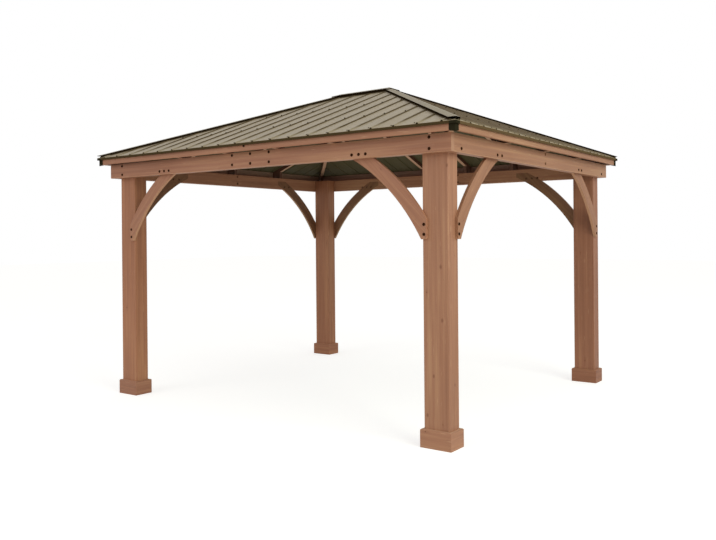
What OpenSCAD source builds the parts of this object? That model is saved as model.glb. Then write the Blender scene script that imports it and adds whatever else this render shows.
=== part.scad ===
// Garden gazebo: four boxed timber posts, bolted beams with curved knee braces,
// and a hipped roof of ribbed sheet metal on timber rafters.
// Millimetres, +Z up. The origin is on the ground, midway between the posts.
// X runs along the ridge. Front is -Y, back is +Y, left is -X and right is +X.

/* [Posts] */
// Width of a post along the ridge
post_w = 220; // [160:1:260]
// Depth of a post across the ridge
post_d = 143; // [110:1:220]
// Thickness of the boards that box in a post
post_board = 28; // [18:1:40]
// Distance between post centres across the ridge
post_span_y = 3080; // [2400:10:3600]
// Bevel on the edges of a post
post_bevel = 4; // [1:0.5:10]

/* [Plinths] */
// Thickness of the collar round the foot of a post
plinth_t = 24; // [16:1:45]
// Height of the collar
plinth_h = 138; // [80:1:200]
// Bevel along the top of the collar
plinth_bevel = 6; // [2:1:15]

/* [Beams] */
// Height of the underside of the beams above the ground
beam_z = 2195; // [1900:5:2500]
// Depth of the beam boards
beam_h = 138; // [120:1:180]
// Thickness of the outer beam boards
beam_board = 45; // [30:1:55]
// Bevel along the lower outer edge of the beams
beam_bevel = 4; // [1:0.5:8]

/* [Braces] */
// Thickness of the braces, and of the inner beam boards that hold their heads
brace_board = 26; // [20:1:45]
// How far a brace reaches along the beam, from the side of its post
brace_reach = 633; // [500:1:720]
// How far a brace reaches down its post, from the underside of the beam
brace_drop = 637; // [500:1:720]
// Length of the brace's top edge where it meets the underside of the beam
brace_top = 205; // [160:1:260]
// Width of the tongue that lies over the face of the post
brace_tongue = 44; // [36:1:70]
// How far below the beam the straight edge of the tongue begins
brace_heel = 480; // [380:1:540]
// Rounding at the outer end of the tongue
brace_round = 18; // [6:1:30]
// Radius of the hollow curve under a brace
brace_curve = 1600; // [1200:10:2200]
// Radius of the round curve along the back of a brace
brace_back = 1700; // [900:10:2200]
// Depth of the pocket in the inner board that holds the head of a brace
brace_pocket = 100; // [60:1:110]

/* [Roof] */
// How far the metal eave stands out beyond the outer face of the beams
eave_reach = 94; // [60:1:150]
// Height of the eave edge above the top of the beams
eave_rise = 69; // [55:1:100]
// Length of the ridge line. It sets how much longer the front is than the sides
ridge_len = 633; // [300:1:1400]
// Height of the ridge line of the sheets above the eave edge
roof_rise = 680; // [500:5:900]
// Thickness of the roof sheets
sheet_t = 2; // [1:0.5:4]
// Distance between two ribs of a roof sheet, with none on its middle line
rib_pitch = 208; // [150:1:300]
// Height of a rib
rib_h = 9; // [6:1:30]
// Width of a rib at its foot
rib_foot = 28; // [18:1:40]
// Width of a rib at its top
rib_top = 12; // [8:1:16]
// Reach of a hip or ridge cap to each side of its line
cap_reach = 46; // [40:1:120]
// Depth of the lip folded down along the edges of a cap
cap_lip = 11; // [4:0.5:14]
// How far the ends of the ridge cap run down over the hips, measured along X
ridge_lap = 75; // [55:1:150]
// How much higher the ridge cap stands than the hip caps
ridge_step = 8; // [0:0.5:15]
// Thickness of the caps, the eave trim and the corner covers
cap_t = 3; // [1.5:0.5:5]

/* [Eaves] */
// Thickness of the fascia boards
fascia_t = 25; // [18:1:40]
// How far the fascia stands back from the metal eave edge
fascia_back = 18; // [10:1:30]
// Depth of the trim that hangs in front of the fascia
trim_h = 23; // [18:1:45]
// Length of each leg of a corner cover
corner_leg = 50; // [30:1:80]
// How far the point of a corner cover hangs below the fascia
corner_tip = 12; // [4:1:20]

/* [Rafters] */
// Thickness of the rafters, the hip rafters and the ridge board
rafter_t = 40; // [30:1:55]
// Upright depth of the rafters
rafter_h = 45; // [35:1:110]
// Depth of the ridge board
ridge_h = 160; // [120:1:220]
// Distance between rafters on the long slopes, with none on the middle line
rafter_gap_x = 610; // [450:10:900]
// Distance between rafters on the short slopes, with one on the middle line
rafter_gap_y = 790; // [500:10:900]
// Stretch of beam next to a corner that is left without rafters
rafter_clear = 500; // [100:10:600]

/* [Hidden] */
$fn = 96;
// Gap left between two pieces that meet in one node
seam = 1;
// Slack round the head of a brace in its pocket
slack = 0.3;
// Overshoot of a cutting shape past what it cuts
over = 10;

half_y = post_span_y / 2;
// The ridge line is as long as the front eave is longer than the side eave
half_x = half_y + (post_d - post_w + ridge_len) / 2;
beam_top = beam_z + beam_h;
// Outer faces of the posts, of the beams, of the fascia and of the metal eave
face_x = half_x + post_w / 2;
face_y = half_y + post_d / 2;
beam_x = face_x + brace_board + beam_board;
beam_y = face_y + brace_board + beam_board;
eave_x = beam_x + eave_reach;
eave_y = beam_y + eave_reach;
fascia_x = eave_x - fascia_back;
fascia_y = eave_y - fascia_back;
// The four slopes have one pitch
eave_z = beam_top + eave_rise;
ridge_half = ridge_len / 2;
pitch_tan = roof_rise / eave_y;
pitch = atan(pitch_tan);
slope_len = eave_y / cos(pitch);
// Upright drops from the top of the sheets to the layers under them
sheet_drop = sheet_t / cos(pitch);
trim_drop = sheet_drop + cap_t / cos(pitch);
rib_lift = rib_h / cos(pitch);
lip_lift = rib_lift + cap_lip / cos(pitch);
cap_lift = lip_lift + cap_t / cos(pitch);
ridge_lift = ridge_step / cos(pitch);

wood = "#a5775c";
shade_wood = "#8a5f47";
sheet_metal = "#a09786";
cap_metal = "#b0a696";
trim_metal = "#3a342a";

// A bar of one cross-section along X, given in the Y-Z plane
module bar_x(length) {
  rotate([90, 0, 90])
    linear_extrude(length, center = true)
      children();
}

// A bar of one cross-section along Y, given in the X-Z plane
module bar_y(length) {
  rotate([90, 0, 0])
    linear_extrude(length, center = true)
      children();
}

// Moves a piece drawn round the axis of a post to one of the posts
module at_corner(sx, sy) {
  translate([sx * half_x, sy * half_y, 0])
    children();
}

// One board, bevelled along its four outer edges, standing upright
module post_board_shape(width, bevel) {
  linear_extrude(beam_top)
    polygon([
      [-width / 2, bevel], [-width / 2 + bevel, 0],
      [width / 2 - bevel, 0], [width / 2, bevel],
      [width / 2, post_board], [-width / 2, post_board]
    ]);
}

// The two full-width boards on the front and back of a post
module post_faces(sx, sy) {
  color(wood)
    at_corner(sx, sy)
      for (turn = [0, 180])
        rotate(turn)
          translate([0, -post_d / 2, 0])
            post_board_shape(post_w, post_bevel);
}

// The two boards that close the post between the full-width ones
module post_cheeks(sx, sy) {
  color(wood)
    at_corner(sx, sy)
      for (side = [-1, 1])
        translate([side * (post_w - post_board) / 2, 0, beam_top / 2])
          cube([post_board, post_d - 2 * post_board, beam_top], center = true);
}

// Cross-section of a collar of a given width, bevelled along its top
module plinth_outline(width) {
  polygon([
    [-width / 2, 0], [width / 2, 0],
    [width / 2, plinth_h - plinth_bevel], [width / 2 - plinth_bevel, plinth_h],
    [-width / 2 + plinth_bevel, plinth_h], [-width / 2, plinth_h - plinth_bevel]
  ]);
}

// Collar of boards round the foot of a post
module plinth(sx, sy) {
  collar_w = post_w + 2 * plinth_t;
  collar_d = post_d + 2 * plinth_t;
  color(wood)
    at_corner(sx, sy)
      difference() {
        intersection() {
          bar_x(collar_w) plinth_outline(collar_d);
          bar_y(collar_d) plinth_outline(collar_w);
        }
        translate([0, 0, plinth_h / 2])
          cube([post_w, post_d, plinth_h + 2 * over], center = true);
      }
}

// Cross-section of an outer beam board: its outer face at X = 0, its underside at Y = 0
module beam_outline() {
  polygon([
    [-beam_board, 0], [-beam_bevel, 0], [0, beam_bevel], [0, beam_h], [-beam_board, beam_h]
  ]);
}

// Outer beam board on a long side, running past the ends of the short ones
module long_beam(sy) {
  color(wood)
    mirror([0, sy > 0 ? 0 : 1])
      translate([0, beam_y, beam_z])
        bar_x(2 * beam_x)
          beam_outline();
}

// Outer beam board on a short side, between the long ones
module short_beam(sx) {
  color(wood)
    mirror([sx > 0 ? 0 : 1, 0])
      translate([beam_x, 0, beam_z])
        bar_y(2 * (beam_y - beam_board))
          beam_outline();
}

// Outline of a brace, seen square on: X runs from the post's side along the beam,
// Y is the height above the underside of the beam
module brace_outline(slack = 0) {
  foot = [0, -brace_drop];
  toe = [brace_reach, 0];
  heel = [-brace_tongue, -brace_heel];
  crown = [brace_reach - brace_top, 0];
  hollow = arc_centre(foot, toe, brace_curve);
  round_back = arc_centre(heel, crown, brace_back);
  difference() {
    intersection() {
      translate([-brace_tongue - slack, -brace_drop])
        square([brace_tongue + brace_reach + brace_pocket, brace_drop + brace_pocket + slack]);
      translate(round_back)
        circle(brace_back + slack, $fn = 240);
    }
    translate(hollow)
      circle(brace_curve - slack, $fn = 240);
    translate([-brace_tongue, -brace_drop])
      corner_waste();
  }
}

// What is cut away to round the outer end of a tongue
module corner_waste() {
  difference() {
    translate([-over, -over])
      square(brace_round + over);
    translate([brace_round, brace_round])
      circle(brace_round);
  }
}

// Centre of the circle of a given radius through two points, on the side away from the post
function arc_centre(a, b, radius) =
  let (
    mid = (a + b) / 2,
    chord = b - a,
    across = [chord.y, -chord.x] / norm(chord),
    rise = sqrt(radius * radius - pow(norm(chord) / 2, 2))
  )
  mid + across * rise;

// Brace outlines at both ends of a side whose posts have their inner sides at +-inner
module brace_pair(inner, slack = 0) {
  for (side = [0, 1])
    mirror([side, 0])
      translate([inner, beam_z])
        mirror([1, 0])
          brace_outline(slack);
}

// The pair of curved braces under a long beam, flat against the faces of the posts
module long_braces(sy) {
  color(wood)
    translate([0, sy * (face_y + brace_board / 2), 0])
      bar_y(brace_board)
        brace_pair(half_x - post_w / 2);
}

// The pair of curved braces under a short beam
module short_braces(sx) {
  color(wood)
    translate([sx * (face_x + brace_board / 2), 0, 0])
      bar_x(brace_board)
        brace_pair(half_y - post_d / 2);
}

// Inner beam board on a long side, with pockets for the heads of its braces
module long_inner_beam(sy) {
  color(shade_wood)
    translate([0, sy * (face_y + brace_board / 2), 0])
      bar_y(brace_board)
        difference() {
          translate([-beam_x + beam_board, beam_z])
            square([2 * (beam_x - beam_board), beam_h]);
          brace_pair(half_x - post_w / 2, slack);
        }
}

// Inner beam board on a short side, between the long inner boards
module short_inner_beam(sx) {
  color(shade_wood)
    translate([sx * (face_x + brace_board / 2), 0, 0])
      bar_x(brace_board)
        difference() {
          translate([-face_y, beam_z])
            square([2 * face_y, beam_h]);
          brace_pair(half_y - post_d / 2, slack);
        }
}

// Everything under the four slopes, with the slopes lowered by a drop
module roof_body(drop) {
  low = beam_z;
  edge = eave_z - drop;
  peak = eave_z + roof_rise - drop;
  intersection() {
    bar_x(2 * eave_x)
      polygon([[-eave_y, low], [eave_y, low], [eave_y, edge], [0, peak], [-eave_y, edge]]);
    bar_y(2 * eave_y)
      polygon([
        [-eave_x, low], [eave_x, low], [eave_x, edge],
        [ridge_half, peak], [-ridge_half, peak], [-eave_x, edge]
      ]);
  }
}

// A layer between two drops that follows the slopes of the roof
module roof_layer(top_drop, bottom_drop) {
  difference() {
    roof_body(top_drop);
    roof_body(bottom_drop);
  }
}

// Upright column over a plan shape, as high as the roof
module roof_column() {
  translate([0, 0, beam_z])
    linear_extrude(eave_z + 2 * roof_rise - beam_z)
      children();
}

// Plan of the slope at the front or the back, short of the hip lines by half a seam
module long_slope_plan(sy, inset = seam) {
  mirror([0, sy > 0 ? 1 : 0])
    polygon([
      [-eave_x + inset, -eave_y], [eave_x - inset, -eave_y],
      [ridge_half - inset, -inset / 2], [-ridge_half + inset, -inset / 2]
    ]);
}

// Plan of the slope at the left or the right
module short_slope_plan(sx, inset = seam) {
  mirror([sx > 0 ? 0 : 1, 0])
    polygon([
      [eave_x, -eave_y + inset], [eave_x, eave_y - inset], [ridge_half + inset, 0]
    ]);
}

// Cross-section of a folded sheet with ribs, centred on the slope
module sheet_outline(half_len) {
  count = floor((half_len - rib_foot) / rib_pitch - 0.5);
  ribs = [for (i = [-count - 1:count]) (i + 0.5) * rib_pitch];
  upper = [
    for (x = ribs)
      each [
        [x - rib_foot / 2, 0], [x - rib_top / 2, rib_h],
        [x + rib_top / 2, rib_h], [x + rib_foot / 2, 0]
      ]
  ];
  lower = [
    for (i = [len(ribs) - 1:-1:0])
      each [
        [ribs[i] + rib_foot / 2 - sheet_t, -sheet_t],
        [ribs[i] + rib_top / 2 - sheet_t, rib_h - sheet_t],
        [ribs[i] - rib_top / 2 + sheet_t, rib_h - sheet_t],
        [ribs[i] - rib_foot / 2 + sheet_t, -sheet_t]
      ]
  ];
  polygon(concat(
    [[-half_len, 0]], upper, [[half_len, 0], [half_len, -sheet_t]], lower, [[-half_len, -sheet_t]]
  ));
}

// The folded sheet laid on a slope that falls towards -Y from a ridge line over the origin
module laid_sheet(half_len) {
  translate([0, 0, eave_z + roof_rise])
    rotate([90 + pitch, 0, 0])
      translate([0, 0, -over])
        linear_extrude(slope_len + 2 * over)
          sheet_outline(half_len);
}

module long_roof_sheet(sy) {
  color(sheet_metal)
    intersection() {
      mirror([0, sy > 0 ? 1 : 0])
        laid_sheet(eave_x);
      roof_column()
        long_slope_plan(sy);
    }
}

module short_roof_sheet(sx) {
  color(sheet_metal)
    intersection() {
      rotate(sx * 90)
        translate([0, -ridge_half, 0])
          laid_sheet(eave_y);
      roof_column()
        short_slope_plan(sx);
    }
}

// Plan strip along the hip line of one corner, of a given width
module hip_strip(sx, sy, width) {
  run = norm([eave_y, eave_y]);
  intersection() {
    translate([sx * ridge_half, 0])
      rotate(atan2(sy, sx))
        translate([-width, -width / 2])
          square([run + 2 * width, width]);
    translate([sx > 0 ? ridge_half : -eave_x, sy > 0 ? seam / 2 : -eave_y])
      square([eave_x - ridge_half, eave_y - seam / 2]);
  }
}

// The corners of the plan, in order round the roof
corners = [[-1, -1], [1, -1], [1, 1], [-1, 1]];

// Folded caps over the four hip lines, resting on the ribs by the lips along their edges
module hip_caps() {
  color(cap_metal)
    for (c = corners)
      difference() {
        intersection() {
          roof_layer(-cap_lift, -rib_lift);
          roof_column()
            difference() {
              hip_strip(c.x, c.y, 2 * cap_reach);
              ridge_cap_plan();
            }
        }
        intersection() {
          roof_body(-lip_lift);
          roof_column()
            hip_strip(c.x, c.y, 2 * (cap_reach - cap_t));
        }
      }
}

// Plan of the ridge cap, whose forked ends run a little way down the hips
module ridge_cap_plan(inset = 0) {
  reach = cap_reach - inset;
  lap = ridge_lap - inset;
  fork = norm([reach, reach]);
  square([2 * (ridge_half + fork), 2 * reach], center = true);
  intersection() {
    square([2 * (ridge_half + lap), 2 * lap], center = true);
    for (c = corners)
      hip_strip(c.x, c.y, 2 * reach);
  }
}

module ridge_cap() {
  color(cap_metal)
    difference() {
      intersection() {
        roof_layer(-cap_lift - ridge_lift, -rib_lift);
        roof_column()
          ridge_cap_plan(seam);
      }
      intersection() {
        roof_body(-lip_lift - ridge_lift);
        roof_column()
          ridge_cap_plan(seam + cap_t);
      }
    }
}

// Plan of a mitred board along one side: its outer face at +-(x, y), of a given thickness
module mitred_side(turn, x, y, thick) {
  side_x = turn % 180 == 0 ? x : y;
  side_y = turn % 180 == 0 ? y : x;
  rotate(turn)
    polygon([
      [-side_x, -side_y], [side_x, -side_y],
      [side_x - thick, -side_y + thick], [-side_x + thick, -side_y + thick]
    ]);
}

// Fascia boards of one side, butted together at mid length
module fascia(turn) {
  color(wood)
    intersection() {
      roof_body(trim_drop);
      translate([0, 0, beam_top])
        linear_extrude(roof_rise)
          difference() {
            mitred_side(turn, fascia_x, fascia_y, fascia_t);
            rotate(turn)
              translate([-seam / 2, -eave_x])
                square([seam, eave_x]);
          }
    }
}

// Metal trim of one side: a leg in front of the fascia and a flange over it
module eave_trim(turn) {
  color(trim_metal)
    intersection() {
      union() {
        roof_layer(sheet_drop, trim_drop);
        translate([0, 0, eave_z - trim_h])
          linear_extrude(2 * trim_h)
            difference() {
              square([2 * eave_x, 2 * eave_y], center = true);
              square([2 * (eave_x - cap_t), 2 * (eave_y - cap_t)], center = true);
            }
      }
      roof_body(sheet_drop);
      roof_column()
        mitred_side(turn, eave_x, eave_y, fascia_back + fascia_t);
    }
}

// One leg of a corner cover, from its edge to the point under the corner
module cover_leg() {
  rotate([90, 0, 0])
    linear_extrude(cap_t)
      polygon([
        [-corner_leg, 0], [cap_t, -corner_tip],
        [cap_t, eave_rise - trim_drop], [-corner_leg, eave_rise - trim_drop]
      ]);
}

// Metal covers over the corners of the fascia, drawn to a point at the bottom
module corner_covers() {
  color(trim_metal)
    for (c = corners)
      translate([c.x * fascia_x, c.y * fascia_y, beam_top])
        mirror([c.x > 0 ? 0 : 1, 0])
          mirror([0, c.y > 0 ? 0 : 1])
            union() {
              translate([0, cap_t, 0])
                cover_leg();
              mirror([1, -1, 0])
                translate([0, cap_t, 0])
                  cover_leg();
            }
}

// The timber layer under the sheets: of even depth between the beams,
// and down to the top of the beams where it rests on them
module timber_layer(depth) {
  intersection() {
    union() {
      roof_layer(sheet_drop, sheet_drop + depth);
      difference() {
        roof_body(sheet_drop);
        translate([0, 0, beam_top])
          cube([2 * face_x, 2 * face_y, 4 * roof_rise], center = true);
      }
    }
    translate([0, 0, beam_top])
      linear_extrude(2 * roof_rise)
        square([2 * (fascia_x - fascia_t), 2 * (fascia_y - fascia_t)], center = true);
  }
}

// Rafters under the four hip lines, from the corners of the fascia to the ridge board
module hip_rafters() {
  color(wood)
    intersection() {
      timber_layer(rafter_h);
      roof_column()
        for (c = corners)
          hip_strip(c.x, c.y, rafter_t);
    }
}

// Board along the ridge, between the heads of the hip rafters
module ridge_board() {
  color(wood)
    intersection() {
      roof_body(sheet_drop);
      translate([0, 0, eave_z + roof_rise - sheet_drop - ridge_h / 2])
        cube([2 * ridge_half, rafter_t, ridge_h], center = true);
    }
}

// Rafters of one slope, a given distance apart, cut to the hips and to the ridge board.
// They are set off from the middle line by a given part of the distance.
module rafters(turn, gap, shift, half_len) {
  count = floor((half_len - rafter_clear) / gap - shift);
  color(wood)
    intersection() {
      timber_layer(rafter_h);
      roof_column()
        difference() {
          rotate(turn)
            for (side = [-1, 1], i = [0:count])
              translate([side * (i + shift) * gap - rafter_t / 2, -eave_x])
                square([rafter_t, eave_x - rafter_t / 2]);
          for (c = corners)
            hip_strip(c.x, c.y, rafter_t + 2 * slack);
          if (turn % 180 != 0)
            square([2 * ridge_half, rafter_t], center = true);
        }
      roof_column()
        if (turn % 180 == 0)
          long_slope_plan(turn == 0 ? -1 : 1);
        else
          short_slope_plan(turn == 90 ? 1 : -1);
    }
}

post_faces(-1, -1);  // front_left_post_faces
post_cheeks(-1, -1);  // front_left_post_cheeks
post_faces(1, -1);  // front_right_post_faces
post_cheeks(1, -1);  // front_right_post_cheeks
post_faces(1, 1);  // back_right_post_faces
post_cheeks(1, 1);  // back_right_post_cheeks
post_faces(-1, 1);  // back_left_post_faces
post_cheeks(-1, 1);  // back_left_post_cheeks
plinth(-1, -1);  // front_left_plinth
plinth(1, -1);  // front_right_plinth
plinth(1, 1);  // back_right_plinth
plinth(-1, 1);  // back_left_plinth
long_beam(-1);  // front_beam
long_beam(1);  // back_beam
short_beam(-1);  // left_beam
short_beam(1);  // right_beam
long_inner_beam(-1);  // front_inner_beam
long_inner_beam(1);  // back_inner_beam
short_inner_beam(-1);  // left_inner_beam
short_inner_beam(1);  // right_inner_beam
long_braces(-1);  // front_braces
long_braces(1);  // back_braces
short_braces(-1);  // left_braces
short_braces(1);  // right_braces
fascia(0);  // front_fascia
fascia(180);  // back_fascia
fascia(270);  // left_fascia
fascia(90);  // right_fascia
eave_trim(0);  // front_eave_trim
eave_trim(180);  // back_eave_trim
eave_trim(270);  // left_eave_trim
eave_trim(90);  // right_eave_trim
corner_covers();
hip_rafters();
ridge_board();
rafters(0, rafter_gap_x, 0.5, beam_x);  // front_rafters
rafters(180, rafter_gap_x, 0.5, beam_x);  // back_rafters
rafters(270, rafter_gap_y, 0, beam_y);  // left_rafters
rafters(90, rafter_gap_y, 0, beam_y);  // right_rafters
long_roof_sheet(-1);  // front_roof_sheet
long_roof_sheet(1);  // back_roof_sheet
short_roof_sheet(-1);  // left_roof_sheet
short_roof_sheet(1);  // right_roof_sheet
hip_caps();
ridge_cap();
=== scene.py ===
# %% [markdown]
# # A garden gazebo, dressed for the render
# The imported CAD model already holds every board, brace and roof sheet in its true place. This script loads
# it as a fixed frame, gives each piece a finish of its own, and adds what is too small for the CAD: the
# bolts with their nuts, the roof screws, and the taupe foam that closes the gaps under the caps of the
# roof. Everything is in metres. X runs along the ridge, the front is at -Y, and Z is up.

# %% Load the frame
import math

import bmesh
import bpy
from mathutils import Matrix, Vector


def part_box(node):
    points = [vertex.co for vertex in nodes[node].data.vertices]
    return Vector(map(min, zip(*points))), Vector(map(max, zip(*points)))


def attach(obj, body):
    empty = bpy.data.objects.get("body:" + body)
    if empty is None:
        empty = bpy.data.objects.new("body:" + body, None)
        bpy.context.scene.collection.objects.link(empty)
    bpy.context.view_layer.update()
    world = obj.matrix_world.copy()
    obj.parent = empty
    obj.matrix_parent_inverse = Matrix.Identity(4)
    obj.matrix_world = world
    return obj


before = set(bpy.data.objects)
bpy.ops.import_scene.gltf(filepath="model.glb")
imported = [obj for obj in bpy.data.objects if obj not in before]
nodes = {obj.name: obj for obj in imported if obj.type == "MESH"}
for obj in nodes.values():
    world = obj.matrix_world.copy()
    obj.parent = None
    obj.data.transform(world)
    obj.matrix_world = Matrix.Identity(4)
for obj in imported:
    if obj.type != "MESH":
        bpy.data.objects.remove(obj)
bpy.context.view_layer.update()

# %% [markdown]
# ## Sizes read from the frame
# Numbers that the CAD already knows are measured from its nodes, so a piece that is added here still sits
# on its board if the part changes. The rise of a slope and the height of a rib are those of the CAD's
# sheets.

# %% Measure the posts, beams and roof
MM = 0.001
beam_low, beam_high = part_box("front_beam")
brace_low, brace_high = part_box("front_braces")
post_low, post_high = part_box("front_right_post_faces")
trim_low, trim_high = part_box("front_eave_trim")

BEAM_Z = beam_low.z
BEAM_BOARD = beam_high.y - beam_low.y
BRACE_BOARD = brace_high.y - brace_low.y
BEAM_FRONT = -beam_low.y
BEAM_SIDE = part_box("right_beam")[1].x
POST_X = (post_low.x + post_high.x) / 2
POST_Y = -(post_low.y + post_high.y) / 2
POST_IN_X, POST_IN_Y = post_low.x, -post_high.y
EAVE_X, EAVE_Y = trim_high.x, -trim_low.y
RIDGE_HALF = EAVE_X - EAVE_Y
SHEET_RISE = 680 * MM
PITCH = math.atan2(SHEET_RISE, EAVE_Y)
RIB_H = 9 * MM
RIB_LIFT = RIB_H / math.cos(PITCH)
RIDGE_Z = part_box("front_roof_sheet")[1].z - RIB_LIFT
print("posts at", round(POST_X, 3), round(POST_Y, 3), "eave at", round(EAVE_X, 3), round(EAVE_Y, 3))
print("ridge at", round(RIDGE_Z, 3), "pitch", round(math.degrees(PITCH), 1), "degrees")

# %% [markdown]
# ## The camera
# The photograph was taken at eye height, a few metres off the right-hand front corner. Its place, direction
# and focal length were worked out from the edges of the posts and the roof. A camera looks along its own -Z
# axis, so the three columns of its matrix are right, up and backwards. The shift moves the frame without
# bending lines.

# %% Set up the camera
IMAGE_W, IMAGE_H = 716, 540
FOCAL_PX = 757.03
CENTRE_PX = (381.02, 236.81)
CAMERA_AT = (4.7174, -6.4373, 1.5880)
YAW, CAMERA_PITCH, ROLL = (math.radians(a) for a in (35.105, -0.086, -0.478))

forward = Vector((-math.sin(YAW) * math.cos(CAMERA_PITCH), math.cos(YAW) * math.cos(CAMERA_PITCH),
                  math.sin(CAMERA_PITCH)))
level = Vector((math.cos(YAW), math.sin(YAW), 0))
upright = level.cross(forward)
right = level * math.cos(ROLL) + upright * math.sin(ROLL)
up = upright * math.cos(ROLL) - level * math.sin(ROLL)

camera_data = bpy.data.cameras.new("eye_height_camera")
camera = bpy.data.objects.new("eye_height_camera", camera_data)
bpy.context.scene.collection.objects.link(camera)
turn = Matrix((right, up, -forward)).transposed().to_4x4()
camera.matrix_world = Matrix.Translation(CAMERA_AT) @ turn
camera_data.sensor_fit = "HORIZONTAL"
camera_data.lens = FOCAL_PX / IMAGE_W * camera_data.sensor_width
camera_data.shift_x = (IMAGE_W / 2 - CENTRE_PX[0]) / IMAGE_W
camera_data.shift_y = (CENTRE_PX[1] - IMAGE_H / 2) / IMAGE_W
bpy.context.scene.camera = camera
print("camera lens", round(camera_data.lens, 2), "mm")

# %% [markdown]
# ## Small tools for materials
# A shader is a tree of nodes. One function adds a node, sets it up and links it, and hands back the output
# that the next node needs. A second one turns the sRGB hex colours that people read off a screen into the
# linear values that a render works in. A Mix node blends two colours, and with Multiply it tints one by the
# other.

# %% Node and colour helpers
def add(tree, kind, settings=(), inputs=(), out=0):
    """Adds a node: settings are its own properties, inputs are values or other nodes' outputs."""
    node = tree.nodes.new("ShaderNode" + kind)
    for key, value in dict(settings).items():
        setattr(node, key, value)
    for key, value in dict(inputs).items():
        if isinstance(value, bpy.types.NodeSocket):
            tree.links.new(value, node.inputs[key])
        else:
            node.inputs[key].default_value = value
    return node.outputs[out] if node.outputs else node


def linear(hex_colour):
    """sRGB hex to a linear colour with alpha 1."""
    parts = [int(hex_colour[i:i + 2], 16) / 255 for i in (1, 3, 5)]
    return (*[p / 12.92 if p <= 0.04045 else ((p + 0.055) / 1.055) ** 2.4 for p in parts], 1.0)


def new_material(name):
    """An empty material and its node tree."""
    material = bpy.data.materials.new(name)
    material.use_nodes = True
    material.node_tree.nodes.clear()
    return material, material.node_tree


BLEND = {"data_type": "RGBA"}
TINT = {"data_type": "RGBA", "blend_type": "MULTIPLY"}
print("mid grey on a screen is", round(linear("#808080")[0], 3), "in linear light")

# %% [markdown]
# ## The surround
# The object is lit as in a daylight studio, by an even pale surround, and what the camera sees behind it is
# plain white. One bright surround could do both, but it would wash the colours out. Light Path tells camera
# rays from the rays that carry light, so the background is white without throwing more light on the object.

# %% World
SURROUND = 0.60
WHITE = (1, 1, 1, 1)


def seen_directly(tree):
    """1 for rays that show the background to the camera, 0 for rays that carry light."""
    path = tree.nodes.new("ShaderNodeLightPath")
    seen = add(tree, "Math", {"operation": "ADD"},
               {0: path.outputs["Is Camera Ray"], 1: path.outputs["Is Glossy Ray"]})
    return add(tree, "Math", {"operation": "ADD", "use_clamp": True},
               {0: seen, 1: path.outputs["Is Transmission Ray"]})


world = bpy.data.worlds.new("pale_surround")
bpy.context.scene.world = world
world.use_nodes = True
tree = world.node_tree
tree.nodes.clear()
lit_by = add(tree, "Background", inputs={"Color": linear("#f5f3ee"), "Strength": SURROUND})
shown = add(tree, "Background", inputs={"Color": WHITE, "Strength": 1.0})
surface = add(tree, "MixShader", inputs={0: seen_directly(tree), 1: lit_by, 2: shown})
add(tree, "OutputWorld", inputs={"Surface": surface})
print("surround of strength", SURROUND)

# %% [markdown]
# ## Two soft lamps
# A studio's soft box is a large lit cloth, and an area lamp is the same thing: the larger it is, the softer
# its shadows. The stronger one stands on the right, which makes the right-hand faces the lighter ones, as
# in the photograph. A sun lamp would do that too, but with hard shadows. The weaker one fills in the front.

# %% Lamps
LAMP_SIZE = 6.0
LAMP_AIM = Vector((0, 0, 1.4))


def lamp(name, place, watts, colour):
    """A square area lamp that looks at the middle of the gazebo."""
    data = bpy.data.lights.new(name, "AREA")
    data.size = LAMP_SIZE
    data.energy = watts
    data.color = linear(colour)[:3]
    obj = bpy.data.objects.new(name, data)
    bpy.context.scene.collection.objects.link(obj)
    way = LAMP_AIM - Vector(place)
    obj.matrix_world = Matrix.Translation(place) @ way.to_track_quat("-Z", "Y").to_matrix().to_4x4()
    print(name, watts, "W")


lamp("key_from_right", (11.0, -4.0, 6.0), 650, "#f6ffee")
lamp("fill_from_front", (-4.0, -11.0, 5.0), 170, "#fffaf4")
bpy.context.scene.view_settings.view_transform = "Standard"

# %% [markdown]
# ## The floor
# The gazebo stands on a wide sheet of studio paper, which keeps its shadow. Lit paper alone would look grey
# in the distance, so the paper that the camera sees glows a little. The rays that carry light meet a plain
# cream paper instead, which throws a warm light up under the roof.

# %% Floor
FLOOR_HALF = 40.0
FLOOR_GLOW = 0.68


def store(bm, name):
    """Keeps a finished shape as a mesh."""
    mesh = bpy.data.meshes.new(name)
    bm.to_mesh(mesh)
    bm.free()
    return mesh


bm = bmesh.new()
bmesh.ops.create_grid(bm, x_segments=2, y_segments=2, size=FLOOR_HALF)
mesh = store(bm, "studio_floor")
floor = bpy.data.objects.new("studio_floor", mesh)
bpy.context.scene.collection.objects.link(floor)
material, tree = new_material("white_studio_paper")
bounce = add(tree, "BsdfDiffuse", inputs={"Color": linear("#f2e8d8")})
paper = add(tree, "BsdfDiffuse", inputs={"Color": linear("#c9c9c9")})
glow = add(tree, "Emission", inputs={"Color": WHITE, "Strength": FLOOR_GLOW})
white = add(tree, "AddShader", inputs={0: paper, 1: glow})
surface = add(tree, "MixShader", inputs={0: seen_directly(tree), 1: bounce, 2: white})
add(tree, "OutputMaterial", inputs={"Surface": surface})
mesh.materials.append(material)
print("floor", 2 * FLOOR_HALF, "m wide")

# %% [markdown]
# ## Stained cedar: where a point lies on its board
# The boards are planed cedar with a thin reddish-brown stain. Its grain has to run along each board. A UV
# map could say which way that is, but every board would need one. Here the material turns the object's own
# coordinates into a board's: across, through and along. Three dot products with the board's axes do that,
# and any direction works, also that of a slanted rafter. Where a left and a right piece mirror each other,
# the coordinates are folded with an absolute value. The boards of a collar meet in mitres, so there the way
# along the board follows from the way that the face looks.

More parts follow.
